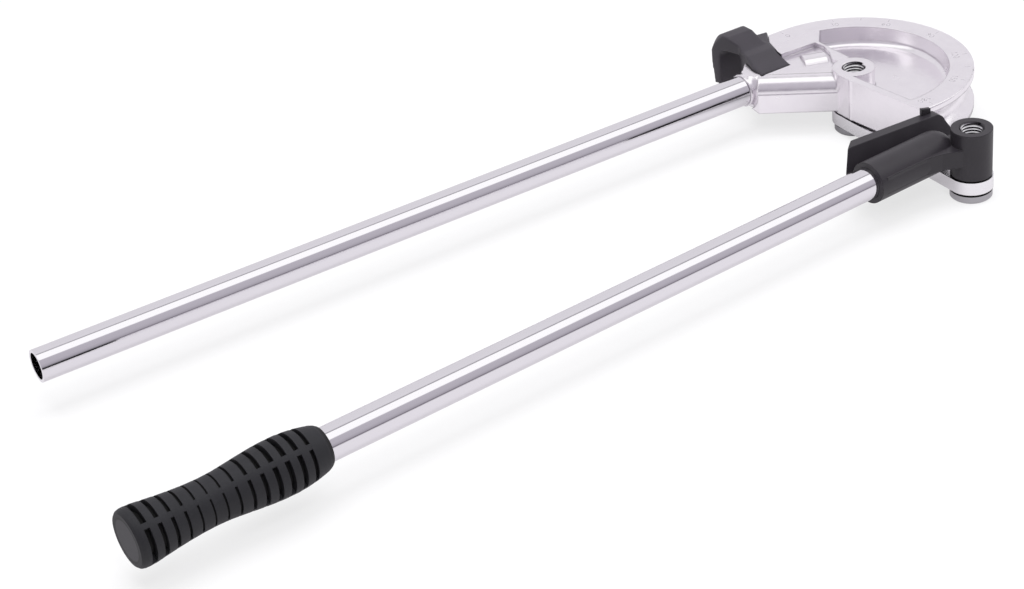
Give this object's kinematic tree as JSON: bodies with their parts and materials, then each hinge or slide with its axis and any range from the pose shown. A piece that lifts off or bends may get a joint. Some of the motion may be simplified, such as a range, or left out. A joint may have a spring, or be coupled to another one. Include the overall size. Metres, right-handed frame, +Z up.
{
  "type": "tube bender",
  "caption": "Two-handle lever tube bender with a half-turn grooved former, a hook, a grooved shoe on a swinging link, and a ribbed grip.",
  "frame": {"origin": "on the main pivot's axis, at the underside of the pivot bolt's round head, on which the tool rests", "axes": "+X from the form handle's open end towards the former, +Y from the lever towards the hook, +Z up along the pivots; at rest the tool is closed at the end of a half-turn bend"},
  "size_m": [0.731, 0.2761, 0.0559],
  "materials": {
    "cast_aluminium": "fine cast and polished",
    "black_casting": "satin black coat",
    "handle_tube": "bright drawn and plated",
    "link_steel": "zinc plated",
    "bolt_steel": "turned and plated",
    "washer_steel": "plated",
    "steel_pin": "oiled",
    "bronze_bush": "turned",
    "grip_rubber": "matt moulded"
  },
  "bodies": {
    "form": {"former": "cast_aluminium", "form_handle_tube": "handle_tube", "form_handle_pin": "steel_pin", "hook": "black_casting", "hook_screws": "steel_pin", "hook_dowels": "steel_pin", "pivot_bolt": "bolt_steel", "pivot_washer_lower": "washer_steel", "pivot_washer_upper": "washer_steel"},
    "link": {"link_plate": "link_steel", "pivot_bush": "bronze_bush", "knuckle_bush": "bronze_bush"},
    "lever": {"shoe_lever": "black_casting", "index_pointer": "black_casting", "knuckle_bolt": "bolt_steel", "knuckle_washer_lower": "washer_steel", "knuckle_washer_upper": "washer_steel", "lever_tube": "handle_tube", "lever_pin": "steel_pin", "grip": "grip_rubber"}
  },
  "joints": [
    {"name": "link_swing", "type": "hinge", "parent": "form", "child": "link", "pos_m": [0, 0, 0.0117], "axis": [0, 0, 1], "range_deg": [0, 180]},
    {"name": "lever_swing", "type": "hinge", "parent": "link", "child": "lever", "pos_m": [-0.0061, -0.12936, 0.0117], "axis": [0, 0, 1], "range_deg": [0, 110]}
  ]
}
